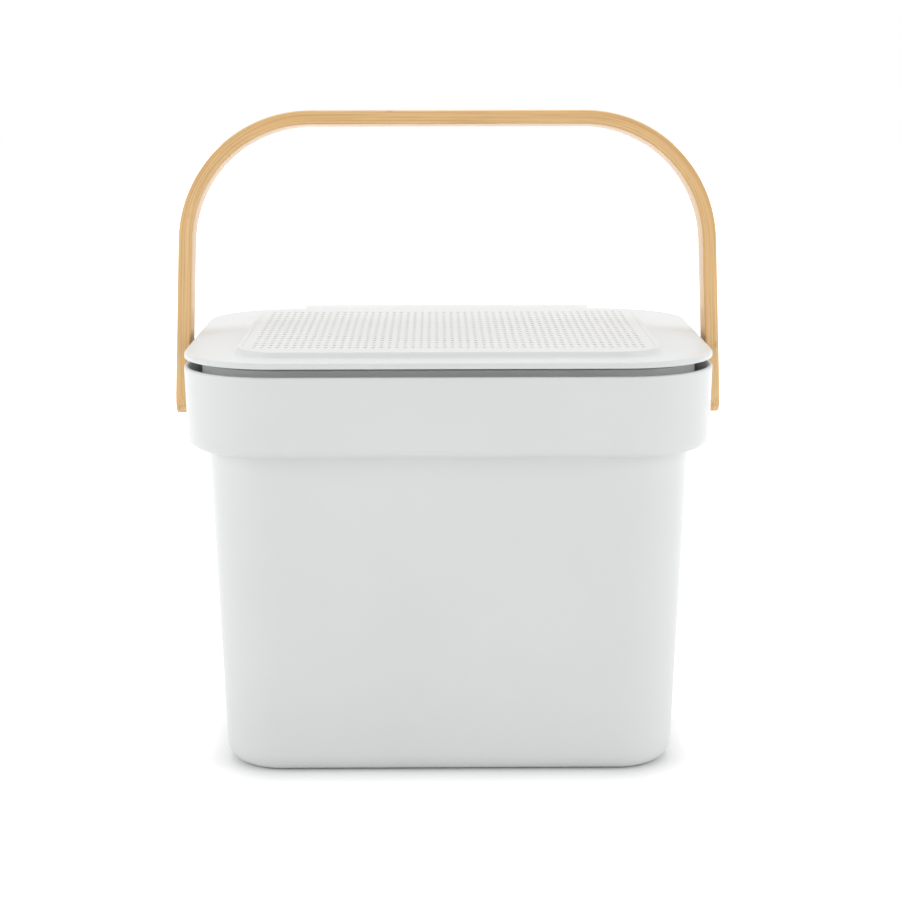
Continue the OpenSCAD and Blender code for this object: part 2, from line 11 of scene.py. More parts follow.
import bpy
import numpy as np
from mathutils import Matrix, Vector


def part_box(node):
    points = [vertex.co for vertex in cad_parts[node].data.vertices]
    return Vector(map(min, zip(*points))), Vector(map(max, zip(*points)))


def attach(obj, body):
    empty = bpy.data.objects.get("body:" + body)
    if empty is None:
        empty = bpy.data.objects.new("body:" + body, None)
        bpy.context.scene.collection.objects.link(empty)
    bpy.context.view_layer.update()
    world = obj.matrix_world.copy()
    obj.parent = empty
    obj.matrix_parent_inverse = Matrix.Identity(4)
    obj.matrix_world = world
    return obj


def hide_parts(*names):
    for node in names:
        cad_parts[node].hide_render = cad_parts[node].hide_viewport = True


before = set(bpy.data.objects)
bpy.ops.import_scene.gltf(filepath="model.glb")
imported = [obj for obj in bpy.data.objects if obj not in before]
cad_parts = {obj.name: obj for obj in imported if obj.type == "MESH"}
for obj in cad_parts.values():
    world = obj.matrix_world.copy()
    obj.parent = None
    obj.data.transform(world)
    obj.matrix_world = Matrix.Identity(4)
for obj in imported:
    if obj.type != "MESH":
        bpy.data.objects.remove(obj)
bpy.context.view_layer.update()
print("nodes:", ", ".join(sorted(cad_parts)))

# %% [markdown]
# ## Sizes
# The mouldings share one plan: a rectangle grown outwards by a distance u, so a corner's radius is
# u as well and all walls stay parallel. The values are the solids' own, in millimetres, and the
# boxes of the frame give the places, so that a piece of the scene lies where its solid lies.

# %% Sizes of the caddy
MM = 0.001

bin_high, lid_high, bucket_high = (
    np.array(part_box(node)[1]) / MM for node in ("outer_bin", "lid", "inner_bucket")
)
panel_low, panel_high = (np.array(corner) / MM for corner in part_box("vent_panel"))

CORNER_R = 42.75
PLAN_W, PLAN_D = 155.0, 105.0
BUCKET_RISE, HINGE_UP, PIVOT_DROP = 2.1, 2.0, 20.4
RIM_Z = bucket_high[2] - BUCKET_RISE
WALL, FLOOR_T = 2.2, 2.5
BODY_DRAFT, COLLAR_DRAFT = math.tan(math.radians(2.22)), math.tan(math.radians(1.5))
COLLAR_H, COLLAR_STEP = 37.0, 9.5
BASE_R, COLLAR_EDGE_R, COLLAR_ROOT_R = 9.0, 5.0, 1.5
BUCKET_GAP, BUCKET_WALL, BUCKET_FLOOR = 1.0, 1.8, 2.0
LIP_W, LIP_H = 4.0, 6.0
LID_GAP, LID_T, LID_INSET, LID_EDGE_R = 3.6, 3.0, 0.25, 1.2
PLATEAU_W, PLATEAU_D, PLATEAU_R, PLATEAU_RISE = 189.0, 149.6, 20.0, 3.4
PLATEAU_Y = -10.8
PLATEAU_DRAFT = math.tan(math.radians(19.0))
PLATEAU_FOOT_R, PLATEAU_CROWN_R = 2.4, 0.8
SKIRT_H, SKIRT_T, SKIRT_GAP = 8.0, 1.6, 1.2
WELL_R, WELL_WALL, PANEL_LEDGE, PANEL_FIT, TRAY_T = 8.0, 1.6, 2.0, 0.1, 1.5
BARREL_R, EAR_R, KNUCKLE_L, EAR_L, KNUCKLE_GAP, EAR_H = 5.6, 4.1, 104.0, 22.0, 0.3, 17.0
HOOD_LIFT = math.radians(16.0)
HINGE_Y, HINGE_Z = bin_high[1] - EAR_R, RIM_Z + HINGE_UP
STRIP_T, STRIP_W, STRIP_EDGE_R, BEND_R = 6.5, 19.0, 0.9, 62.9
ARM_SPLAY, HANDLE_LEAN = math.radians(1.77), math.radians(6.0)
HANDLE_REACH, ARM_END, STRIP_X = 132.25, 11.5, 123.68
PIVOT_Z = RIM_Z - PIVOT_DROP
BOSS_R, BOSS_BORE_R, BOSS_EDGE_R = 9.0, 4.2, 0.5

COLLAR_Z = RIM_Z - COLLAR_H
LID_Z = RIM_Z + LID_GAP
LID_TOP = LID_Z + LID_T
PLATEAU_Z = LID_TOP + PLATEAU_RISE


def collar_u(z):
    """How far the collar's outer face stands out from the plan at the height z."""
    return CORNER_R - (RIM_Z - z) * COLLAR_DRAFT


def body_u(z):
    """The same for the body below the collar."""
    return collar_u(COLLAR_Z) - COLLAR_STEP + (z - COLLAR_Z) * BODY_DRAFT


def bucket_u(z):
    """The same for the outer face of the inner bucket."""
    return body_u(z) - WALL - BUCKET_GAP


print(f"rim {RIM_Z:.2f}, lid {LID_Z:.2f} to {LID_TOP:.2f} mm")
print(f"plateau {PLATEAU_Z:.2f} against {lid_high[2]:.2f} mm")

# %% [markdown]
# ## Camera
# A product photograph taken from far away has little perspective. The lens and the place were
# found by a fit to measures of the photograph, such as the edges of the lid and the rim, and the
# camera is set by its own axes: where it looks, what is right and what is up.

# %% Camera
FOCAL_PX, FRAME_PX, SENSOR_MM = 2060.0, 900.0, 36.0
CAMERA_AT = np.array([-5.39, -982.4, 329.4])
PITCH, YAW, ROLL = (math.radians(v) for v in (11.13, 0.37, -0.108))

forward = np.array([math.sin(YAW) * math.cos(PITCH), math.cos(YAW) * math.cos(PITCH), -math.sin(PITCH)])
level_right = np.array([math.cos(YAW), -math.sin(YAW), 0.0])
level_up = np.cross(level_right, forward)
right = math.cos(ROLL) * level_right + math.sin(ROLL) * level_up
up = -math.sin(ROLL) * level_right + math.cos(ROLL) * level_up

camera_data = bpy.data.cameras.new("camera")
camera_data.sensor_width = SENSOR_MM
camera_data.lens = FOCAL_PX * SENSOR_MM / FRAME_PX
camera_data.clip_end = 20.0
camera = bpy.data.objects.new("camera", camera_data)
bpy.context.scene.collection.objects.link(camera)
pose = np.eye(4)
pose[:3, :3] = np.column_stack([right, up, -forward])
pose[:3, 3] = CAMERA_AT * MM
camera.matrix_world = Matrix(pose.tolist())
bpy.context.scene.camera = camera
print(f"lens {camera_data.lens:.1f} mm, {-CAMERA_AT[1]:.0f} mm in front of the caddy")

# %% [markdown]
# ## Meshes from arrays
# Each moulding is a grid of points: one parameter runs round the plan and the other along a
# profile. The helpers below turn such a grid into quads, close it where it should be closed and
# cap it where it ends. Near each round the profile gets an extra point, because smooth shading
# would otherwise bend the light across the flat face beside it.

# %% Helpers for meshes
SUPPORT = 0.12


def new_piece(name, verts, faces, sharp=math.radians(40)):
    """A finished mesh object at the origin, from points in mm and lists of corner numbers."""
    mesh = bpy.data.meshes.new(name)
    mesh.from_pydata((np.asarray(verts) * MM).tolist(), [], faces)
    mesh.polygons.foreach_set("use_smooth", np.ones(len(mesh.polygons), bool))
    mesh.set_sharp_from_angle(angle=sharp)
    mesh.validate()
    piece = bpy.data.objects.new(name, mesh)
    bpy.context.scene.collection.objects.link(piece)
    print(f"{name}: {len(mesh.vertices)} points, {len(mesh.polygons)} faces")
    return piece


def grid_faces(rows, columns, close_rows=False, close_columns=False):
    """Quads over a grid of points numbered row by row: each joins a point to its next in both ways."""
    numbers = np.arange(rows * columns).reshape(rows, columns)
    if close_rows:
        numbers = np.vstack([numbers, numbers[:1]])
    if close_columns:
        numbers = np.hstack([numbers, numbers[:, :1]])
    corners = [numbers[:-1, :-1], numbers[:-1, 1:], numbers[1:, 1:], numbers[1:, :-1]]
    return np.stack(corners, axis=-1).reshape(-1, 4).tolist()


def round_corners(corners, steps=8):
    """An outline through the given corners (x, y, r), where a corner with r above 0 becomes an arc:
    the arc touches both edges at r / tan(half the corner's angle) from the corner, and its points
    are the centre plus r times a direction that turns evenly from one edge's normal to the other's."""
    table = np.array(corners, float)
    points = [table[0, :2]]
    for before, here, after in zip(table[:-2], table[1:-1], table[2:]):
        corner, r = here[:2], here[2]
        back = (before[:2] - corner) / np.linalg.norm(before[:2] - corner)
        ahead = (after[:2] - corner) / np.linalg.norm(after[:2] - corner)
        if r <= 0:
            points.append(corner)
            continue
        half = math.acos(np.clip(back @ ahead, -1, 1)) / 2
        reach = r / math.tan(half)
        middle = back + ahead
        centre = corner + middle / np.linalg.norm(middle) * r / math.sin(half)
        first, last = corner + back * reach - centre, corner + ahead * reach - centre
        turn = math.atan2(first[0] * last[1] - first[1] * last[0], first @ last)
        angles = math.atan2(first[1], first[0]) + np.linspace(0, turn, steps + 1)
        arc = centre + r * np.column_stack([np.cos(angles), np.sin(angles)])
        points.extend([arc[0] + back * SUPPORT, *arc, arc[-1] + ahead * SUPPORT])
    points.append(table[-1, :2])
    return np.array(points)


def plan_turn(corner_steps=24):
    """Once round a rounded rectangle: the corner signs (sx, sy) and the direction (cos, sin) of each
    point, so that the point is (sx * a + r * cos, sy * b + r * sin) for corner centres at a and b."""
    quarter = np.linspace(0, math.pi / 2, corner_steps + 1)
    straight = np.array([0.01, 0.25, 0.5, 0.75, 0.99])
    signs = np.array([[1, 1], [-1, 1], [-1, -1], [1, -1]], float)
    sx, sy, angle = [], [], []
    for side in range(4):
        here, after = signs[side], signs[(side + 1) % 4]
        sx.extend([np.full(quarter.size, here[0]), here[0] + (after[0] - here[0]) * straight])
        sy.extend([np.full(quarter.size, here[1]), here[1] + (after[1] - here[1]) * straight])
        start = side * math.pi / 2
        angle.extend([start + quarter, np.full(straight.size, start + math.pi / 2)])
    angle = np.concatenate(angle)
    return np.concatenate(sx), np.concatenate(sy), np.cos(angle), np.sin(angle)


def loft(rings):
    """Points of a surface through rounded rectangles. Each ring is (half width, half depth, corner
    radius, middle in y, height)."""
    sx, sy, cos, sin = plan_turn()
    half_w, half_d, r, y, z = (column[:, None] for column in np.array(rings, float).T)
    x_out = sx * (half_w - r) + r * cos
    y_out = y + sy * (half_d - r) + r * sin
    return np.stack([x_out, y_out, z + 0 * x_out], axis=-1)


def plan_rings(profile, w=PLAN_W, d=PLAN_D, y=0.0):
    """Rings of a profile of (u, z) points carried round the rectangle w by d."""
    u, z = np.asarray(profile, float).T
    return np.column_stack([w / 2 + u, d / 2 + u, u, np.full(u.size, y), z])


def shell(name, rings, closed=False):
    """A lofted piece: closed like a tyre, or with its first and last ring capped by flat faces."""
    points = loft(rings)
    rows, columns = points.shape[:2]
    faces = grid_faces(rows, columns, close_rows=closed, close_columns=True)
    if not closed:
        faces.append(list(range(columns - 1, -1, -1)))
        faces.append(list(range((rows - 1) * columns, rows * columns)))
    return new_piece(name, points.reshape(-1, 3), faces)


# %% [markdown]
# ## The outer bin
# As a solid this is one moulding: a tapered body, a step out to a wide collar and a rounded rim.
# Its profile is drawn once, from near the middle of the underside over the rim to near the middle
# of the floor, and carried round the plan. The bosses and the hinge ears are small separate
# surfaces that sink a little into the wall, as moulded-on features look from outside.

# %% Outer bin
CAP_U = 4.0
RIM_SHARE = 0.45
RIM_R = WALL * RIM_SHARE
shelf_z = COLLAR_Z + WALL
bin_profile = round_corners(
    [
        (CAP_U, 0, 0),
        (body_u(0), 0, BASE_R),
        (body_u(COLLAR_Z), COLLAR_Z, COLLAR_ROOT_R),
        (collar_u(COLLAR_Z), COLLAR_Z, COLLAR_EDGE_R),
        (CORNER_R, RIM_Z, RIM_R),
        (CORNER_R - WALL, RIM_Z, RIM_R),
        (collar_u(shelf_z) - WALL, shelf_z, COLLAR_EDGE_R - WALL),
        (body_u(shelf_z) - WALL, shelf_z, RIM_R),
        (body_u(FLOOR_T) - WALL, FLOOR_T, BASE_R - WALL),
        (CAP_U, FLOOR_T, 0),
    ]
)
bin_shell = shell("bin_shell", plan_rings(bin_profile))


def turned(name, profile, place, steps=64, flip=False):
    """A revolved piece along X: the profile is (radius, distance along X), and each point turns
    round the axis through place. flip makes the left-hand copy."""
    r, along = np.asarray(profile, float).T
    angles = np.linspace(0, 2 * math.pi, steps, endpoint=False)
    side = -1.0 if flip else 1.0
    x = side * (along[:, None] + 0 * angles)
    y = place[0] + r[:, None] * np.cos(angles) * side
    z = place[1] + r[:, None] * np.sin(angles)
    faces = grid_faces(len(r), steps, close_columns=True)
    faces.append(list(range(steps - 1, -1, -1)))
    faces.append(list(range((len(r) - 1) * steps, len(r) * steps)))
    points = np.stack([x, y, z], axis=-1).reshape(-1, 3)
    return new_piece(name, points, faces)


boss_x = bin_high[0]
collar_x = PLAN_W / 2 + collar_u(PIVOT_Z)
boss_profile = round_corners(
    [(BOSS_R, collar_x - WALL / 2, 0), (BOSS_R, boss_x, BOSS_EDGE_R), (BOSS_BORE_R, boss_x, 0)], 5
)
boss_right = turned("bin_boss_right", boss_profile, (0.0, PIVOT_Z))
boss_left = turned("bin_boss_left", boss_profile, (0.0, PIVOT_Z), flip=True)


def bar_along_x(name, outline, from_x, to_x, edge=0.35):
    """A closed outline in (y, z), listed anticlockwise, drawn out along X with a small bevel at both
    ends: there each point moves inwards by the bevel's size, square to the line through its two
    neighbours."""
    outline = np.asarray(outline, float)
    run = np.roll(outline, -1, axis=0) - np.roll(outline, 1, axis=0)
    inward = np.column_stack([-run[:, 1], run[:, 0]]) / np.linalg.norm(run, axis=1)[:, None] * edge
    inset = np.array([0, edge, edge + SUPPORT])
    places = np.concatenate([from_x + inset, to_x - inset[::-1]])
    shrink = np.array([1.0, 0, 0, 0, 0, 1.0])
    yz = outline[None] + inward[None] * shrink[:, None, None]
    x = np.broadcast_to(places[:, None, None], (*yz.shape[:2], 1))
    points = np.concatenate([x, yz], axis=-1)
    rows, columns = points.shape[:2]
    faces = grid_faces(rows, columns, close_columns=True)
    faces.append(list(range(columns - 1, -1, -1)))
    faces.append(list(range((rows - 1) * columns, rows * columns)))
    return new_piece(name, points.reshape(-1, 3), faces)


def arc_points(centre, r, start, stop, steps=40):
    """Points on a circle of radius r from one angle to another."""
    angles = np.linspace(start, stop, steps)
    return np.array(centre) + r * np.column_stack([np.cos(angles), np.sin(angles)])


hinge = np.array([HINGE_Y, HINGE_Z])
ear_foot = np.array([PLAN_D / 2 + collar_u(RIM_Z - EAR_H) - WALL / 2, RIM_Z - EAR_H])
sight = hinge - ear_foot
tangent = math.atan2(sight[1], sight[0]) - math.asin(EAR_R / np.linalg.norm(sight))
ear_neck = np.array([ear_foot[0], RIM_Z - WALL])
ear_outline = np.vstack([
    ear_foot,
    arc_points(hinge, EAR_R, tangent - math.pi / 2, math.radians(200)),
    ear_neck,
])
ear_x = KNUCKLE_L / 2 + KNUCKLE_GAP
ear_right = bar_along_x("bin_ear_right", ear_outline, ear_x, ear_x + EAR_L)
ear_left = bar_along_x("bin_ear_left", ear_outline, -ear_x - EAR_L, -ear_x)
print(f"hinge axis at y {HINGE_Y:.2f}, z {HINGE_Z:.2f} mm")

# %% [markdown]
# ## The inner bucket
# The grey band between the lid and the bin in the photograph is read as the turned-down edge of
# the bucket's lip. The rest is hidden there, so it is a guess, but it fills the view once the lid
# is open. It is the same kind of surface as the bin.

# %% Inner bucket
BUCKET_Z = bucket_high[2]
bucket_rim_r = BUCKET_WALL * RIM_SHARE
LIP_EDGE_R = 0.3
bucket_foot_r = BASE_R - WALL
inside_z = FLOOR_T + BUCKET_FLOOR
lip_u = bucket_u(BUCKET_Z) + LIP_W
lip_under, lip_end = BUCKET_Z - BUCKET_WALL, BUCKET_Z - LIP_H
bucket_profile = round_corners(
    [
        (CAP_U, FLOOR_T, 0),
        (bucket_u(FLOOR_T), FLOOR_T, bucket_foot_r),
        (bucket_u(lip_under), lip_under, LIP_EDGE_R),
        (lip_u - BUCKET_WALL, lip_under, LIP_EDGE_R),
        (lip_u - BUCKET_WALL, lip_end, LIP_EDGE_R),
        (lip_u, lip_end, LIP_EDGE_R),
        (lip_u, BUCKET_Z, bucket_rim_r),
        (bucket_u(BUCKET_Z) - BUCKET_WALL, BUCKET_Z, bucket_rim_r),
        (bucket_u(inside_z) - BUCKET_WALL, inside_z, bucket_foot_r - BUCKET_WALL),
        (CAP_U, inside_z, 0),
    ]
)
bucket_shell = shell("bucket_shell", plan_rings(bucket_profile))

# %% [markdown]
# ## The lid
# The lid is a ring-shaped moulding round the filter well. Its surface starts at the edge of the
# vent panel, crosses the plateau, falls through a small hollow to the flange, rounds the outer
# edge, passes the locating skirt below and comes back up the well's wall, so it closes on itself
# like a tyre. The plateau has corners of its own, so each ring says its own radius and middle. The
# first and last point of both profiles only aim the rounds beside them, and are then dropped.
# Behind it a web carries the hinge: a solid knuckle in the middle, and a thin hood over each ear.

# %% Lid
lid_u = CORNER_R - LID_INSET
skirt_u = bucket_u(BUCKET_Z) - BUCKET_WALL - SKIRT_GAP
skirt_z = LID_Z - SKIRT_H
plateau_side_w = PLATEAU_RISE * PLATEAU_DRAFT
UNDER_EDGE_R, SKIRT_ROOT_R, SKIRT_EDGE_R = 0.5, 0.4, 0.6
plateau_profile = round_corners(
    [
        (PLATEAU_R - 2.2, PLATEAU_Z, 0),
        (PLATEAU_R, PLATEAU_Z, PLATEAU_CROWN_R),
        (PLATEAU_R + plateau_side_w, LID_TOP, PLATEAU_FOOT_R),
        (PLATEAU_R + plateau_side_w + 4.0, LID_TOP, 0),
    ],
    6,
)[1:-1]
flange_profile = round_corners(
    [
        (lid_u - 6.0, LID_TOP, 0),
        (lid_u, LID_TOP, LID_EDGE_R),
        (lid_u, LID_Z, UNDER_EDGE_R),
        (skirt_u, LID_Z, SKIRT_ROOT_R),
        (skirt_u, skirt_z, SKIRT_EDGE_R),
        (skirt_u - SKIRT_T, skirt_z, SKIRT_EDGE_R),
        (skirt_u - SKIRT_T, LID_Z, SKIRT_ROOT_R),
        (skirt_u - SKIRT_T - 1.0, LID_Z, 0),
    ],
    6,
)[1:-1]
well_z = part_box("filter_tray")[0][2] / MM + TRAY_T
panel_z = panel_low[2]
seat_w, seat_d = (panel_high - panel_low)[:2] / 2 + PANEL_FIT
well_w, well_d = seat_w - PANEL_LEDGE, seat_d - PANEL_LEDGE
well_out = (well_w + WELL_WALL, well_d + WELL_WALL, WELL_R + WELL_WALL)
well_in = (well_w, well_d, WELL_R)
panel_seat = (seat_w, seat_d, WELL_R + PANEL_LEDGE)
inner_rings = [
    (*well_out, PLATEAU_Y, LID_Z),
    (*well_out, PLATEAU_Y, well_z),
    (*well_in, PLATEAU_Y, well_z),
    (*well_in, PLATEAU_Y, panel_z),
    (*panel_seat, PLATEAU_Y, panel_z),
    (*panel_seat, PLATEAU_Y, PLATEAU_Z),
]
plateau_core = (PLATEAU_W - 2 * PLATEAU_R, PLATEAU_D - 2 * PLATEAU_R)
plateau_rings = plan_rings(plateau_profile, *plateau_core, PLATEAU_Y)
lid_rings = np.vstack([plateau_rings, plan_rings(flange_profile), inner_rings])
lid_shell = shell("lid_shell", lid_rings[::-1], closed=True)

# %% The lid's hinge
web_y = PLAN_D / 2 + lid_u - 1.0
web_top = math.pi - math.asin((LID_TOP - HINGE_Z) / BARREL_R)
web_under = math.pi - math.asin((LID_Z - HINGE_Z) / BARREL_R)
knuckle_outline = np.vstack([
    (web_y, LID_Z),
    arc_points(hinge, BARREL_R, web_under - 2 * math.pi, web_top, 72),
    (web_y, LID_TOP),
])
hood_outline = np.vstack([
    (web_y, LID_Z),
    arc_points(hinge, BARREL_R, web_under, math.pi, 5),
    arc_points(hinge, EAR_R + KNUCKLE_GAP, math.pi, HOOD_LIFT, 48),
    arc_points(hinge, BARREL_R, HOOD_LIFT, web_top, 36),
    (web_y, LID_TOP),
])
hood_x = ear_x + EAR_L
lid_knuckle = bar_along_x("lid_knuckle", knuckle_outline, -KNUCKLE_L / 2, KNUCKLE_L / 2)
lid_hood_right = bar_along_x("lid_hood_right", hood_outline, KNUCKLE_L / 2 - SUPPORT, hood_x)
lid_hood_left = bar_along_x("lid_hood_left", hood_outline, -hood_x, SUPPORT - KNUCKLE_L / 2)

# %% [markdown]
# ## The bamboo handle
# The real handle is a strip of laminated bamboo, steamed and bent, with eased edges and full-round
# ends. A rounded cross-section is carried along the strip's middle line: down one arm, round the
# bend, over the bar and back. Two UV maps keep each point's place along, through and across the
# strip, so that the grain can follow the bend as real fibres do.

# %% Handle strip
TIP_LEFT = 0.05
bend_z = HANDLE_REACH - BEND_R


def strip_middle_line(bend_x, arm_steps=24, bend_steps=48, bar_steps=40, end_steps=14):
    """The right half of the strip's middle line, from the middle of the bar to the arm's end, with
    the outward normal and the half width at each place. Straight stretches are spaced evenly, the
    bend turns evenly, and near the end the half width follows a circle as the strip's side view does.
    TIP_LEFT, an angle, keeps the last section from shrinking to nothing, so that it can be capped."""
    middle_r = BEND_R - STRIP_T / 2
    bar_x = np.linspace(0, bend_x, bar_steps, endpoint=False)
    bar = np.column_stack([bar_x, np.full(bar_steps, bend_z + middle_r)])
    bar_turn = np.full(bar_steps, math.pi / 2)
    turn = np.linspace(math.pi / 2, ARM_SPLAY, bend_steps)
    bend = np.array([bend_x, bend_z]) + middle_r * np.column_stack([np.cos(turn), np.sin(turn)])
    arm_l = (bend_z + middle_r * math.sin(ARM_SPLAY) + ARM_END) / math.cos(ARM_SPLAY)
    end_r = STRIP_W / 2
    fall = np.linspace(0, arm_l - end_r, arm_steps + 1)[1:]
    curl = np.linspace(0, math.pi / 2, end_steps + 1)[1:]
    curl[-1] -= TIP_LEFT
    fall = np.concatenate([fall, arm_l - end_r + end_r * np.sin(curl)])
    down = np.array([math.sin(ARM_SPLAY), -math.cos(ARM_SPLAY)])
    arm = bend[-1] + fall[:, None] * down
    line = np.vstack([bar, bend, arm])
    normal_turn = np.concatenate([bar_turn, turn, np.full(fall.size, ARM_SPLAY)])
    half_w = np.concatenate([np.full(len(line) - curl.size, end_r), end_r * np.cos(curl)])
    return line, normal_turn, half_w


def strip_section(steps=5):
    """The cross-section's outline as (through, across) signs and the eased edges' arcs: corner centres at the
    signs, each with a quarter circle."""
    quarter = np.linspace(0, math.pi / 2, steps + 1)
    signs = np.array([[1, 1], [-1, 1], [-1, -1], [1, -1]], float)
    rows = [
        np.column_stack([np.tile(sign, (quarter.size, 1)), side * math.pi / 2 + quarter])
        for side, sign in enumerate(signs)
    ]
    return np.vstack(rows)


def leaned(points):
    """Points of the strip's own plane (across X, along Y, up the strip) turned back by the handle's lean
    about the pivots and set at the pivots' height."""
    x, y, s = np.moveaxis(points, -1, 0)
    back = y * math.cos(HANDLE_LEAN) + s * math.sin(HANDLE_LEAN)
    height = PIVOT_Z - y * math.sin(HANDLE_LEAN) + s * math.cos(HANDLE_LEAN)
    return np.stack([x, back, height], axis=-1)


strip_face_x = STRIP_X + STRIP_T / math.cos(ARM_SPLAY)
bend_x = (strip_face_x * math.cos(ARM_SPLAY) - BEND_R - bend_z * math.sin(ARM_SPLAY)) / math.cos(ARM_SPLAY)
half_line, half_turn, half_width = strip_middle_line(bend_x)
line = np.vstack([half_line[::-1], half_line[1:] * [-1, 1]])
normal_turn = np.concatenate([half_turn[::-1], math.pi - half_turn[1:]])
width = np.concatenate([half_width[::-1], half_width[1:]])
step_l = np.linalg.norm(np.diff(line, axis=0), axis=1)
along = np.concatenate([[0], np.cumsum(step_l)]) - step_l.sum() / 2

section = strip_section()
edge_r = np.minimum(STRIP_EDGE_R, width * 0.5)[:, None]
through = section[:, 0] * (STRIP_T / 2 - edge_r) + edge_r * np.cos(section[:, 2])
across = section[:, 1] * (width[:, None] - edge_r) + edge_r * np.sin(section[:, 2])
strip_points = np.stack([
    line[:, :1] + np.cos(normal_turn)[:, None] * through,
    across,
    line[:, 1:] + np.sin(normal_turn)[:, None] * through,
], axis=-1)
rows, columns = strip_points.shape[:2]
strip_faces = grid_faces(rows, columns, close_columns=True)
strip_faces.append(list(range(columns - 1, -1, -1)))
strip_faces.append(list(range((rows - 1) * columns, rows * columns)))
handle_strip = new_piece("handle_strip", leaned(strip_points).reshape(-1, 3), strip_faces)


def store_place(piece, layer, first, second):
    """Keeps two numbers per point, in metres, as a UV map of that name."""
    uv = piece.data.uv_layers.new(name=layer)
    corner = np.empty(len(piece.data.loops), int)
    piece.data.loops.foreach_get("vertex_index", corner)
    pairs = np.column_stack([first.ravel()[corner], second.ravel()[corner]]) * MM
    uv.data.foreach_set("uv", pairs.ravel())


store_place(handle_strip, "along_through", along[:, None] + 0 * through, through)
store_place(handle_strip, "across", across, 0 * across)
print(f"strip {step_l.sum():.0f} mm long, bends about x {bend_x:.1f}, z {bend_z:.1f} mm in its plane")

# %% [markdown]
# ## Pivot screws
# A shallow domed head shows on each side. The solid strip has a counterbore for it; the strip here
# has none, and the head is sunk into it. The head is a turned surface. Its hex socket is a guess
# that the solid doesn't have: a six-sided recess, made by giving the innermost rings of the head
# a hexagon's radius and sinking them.

# %% Pivot screws
screw_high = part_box("pivot_screw_right")[1][0] / MM
HEAD_R, HEAD_T, HEAD_DOME = 4.8, 1.3, 0.7
SOCKET_R, SOCKET_DEPTH = 1.7, 1.1
DOME_RADII = [4.2, 3.5, 2.8, 2.35]
SOCKET_RINGS = ((0.18, -0.02), (0.0, 0.12), (-0.02, SOCKET_DEPTH), (-0.4, SOCKET_DEPTH + 0.05))


def hex_radius(flat_r, angles):
    """Distance from the middle to a hexagon's side at each angle: the flat's distance over the
    cosine of the angle to that flat's middle."""
    sector = math.pi / 3
    return flat_r / np.cos((angles + sector / 2) % sector - sector / 2)


def screw_head(name, side):
    """A domed head along X: its rings follow a sphere from the rim to the socket's edge, then drop
    into the socket and close at its floor. Each socket ring says how far it stands out from the
    hexagon, and how deep it lies under the dome."""
    steps = 72
    angles = np.linspace(0, 2 * math.pi, steps, endpoint=False)
    dome_r = (HEAD_R ** 2 + HEAD_DOME ** 2) / (2 * HEAD_DOME)
    radii = np.array([HEAD_R - 0.15, HEAD_R, HEAD_R, HEAD_R - SUPPORT, *DOME_RADII])
    heights = dome_r - np.sqrt(dome_r ** 2 - radii ** 2)
    x = screw_high - heights
    x[:2] = screw_high - HEAD_DOME - HEAD_T
    x[2] = screw_high - HEAD_DOME - 0.1
    rings_r = [np.full(steps, r) for r in radii]
    rings_x = [np.full(steps, v) for v in x]
    edge = hex_radius(SOCKET_R, angles)
    dome_fall = dome_r - math.sqrt(dome_r ** 2 - SOCKET_R ** 2)
    for grow, drop in SOCKET_RINGS:
        rings_r.append(edge + grow)
        rings_x.append(np.full(steps, screw_high - dome_fall - drop))
    r, x = np.array(rings_r), np.array(rings_x)
    points = np.stack([side * x, side * r * np.cos(angles), PIVOT_Z + r * np.sin(angles)], axis=-1)
    faces = grid_faces(len(r), steps, close_columns=True)
    faces.append(list(range(steps - 1, -1, -1)))
    faces.append(list(range((len(r) - 1) * steps, len(r) * steps)))
    return new_piece(name, points.reshape(-1, 3), faces, sharp=math.radians(30))


head_right = screw_head("screw_head_right", 1.0)
head_left = screw_head("screw_head_left", -1.0)

# %% [markdown]
# ## Materials
# The plastic is a satin white with the faint grain of a moulded surface. The filter is dark felt
# with a pale fleece on top, because the holes above it look pale. The bamboo needs long fibres,
# thin glue lines between its plies and a darker node here and there. Effects that several
# materials share are node groups, which put out only heights, masks and colours.

# %% Helpers for nodes


def add(tree, kind, inputs=None, **settings):
    """A new node with its settings and inputs. An input is a value, or a socket to link from."""
    made = tree.nodes.new(kind)
    for name, value in settings.items():
        setattr(made, name, value)
    for name, value in (inputs or {}).items():
        if isinstance(value, bpy.types.NodeSocket):
            tree.links.new(value, made.inputs[name])
        else:
            made.inputs[name].default_value = value
    return made


def maths(tree, operation, first, second=0.0):
    """One Math node's result."""
    return add(tree, "ShaderNodeMath", {0: first, 1: second}, operation=operation).outputs[0]


def mix_colour(tree, amount, first, second, how="MIX"):
    """A colour between first and second."""
    node = add(tree, "ShaderNodeMix", {0: amount, 6: first, 7: second}, data_type="RGBA", blend_type=how)
    return node.outputs[2]


def ramp(tree, value, low, high, to_low=0.0, to_high=1.0):
    """The value carried from the range low..high to to_low..to_high, without passing its ends."""
    node = add(tree, "ShaderNodeMapRange", {0: value, 1: low, 2: high, 3: to_low, 4: to_high})
    return node.outputs[0]


def noise(tree, place, scale, detail=3.0, roughness=0.5):
    """Fractal noise around 0.5 over the given place."""
    return add(tree, "ShaderNodeTexNoise", {
        "Vector": place, "Scale": scale, "Detail": detail, "Roughness": roughness,
    }).outputs[0]


def new_group(name, inputs, outputs):
    """An empty shader node group. inputs and outputs are {name: socket type}."""
    group = bpy.data.node_groups.new(name, "ShaderNodeTree")
    for label, (kind, value) in inputs.items():
        socket = group.interface.new_socket(label, in_out="INPUT", socket_type=kind)
        if value is not None:
            socket.default_value = value
    for label, kind in outputs.items():
        group.interface.new_socket(label, in_out="OUTPUT", socket_type=kind)
    return group, group.nodes.new("NodeGroupInput"), group.nodes.new("NodeGroupOutput")


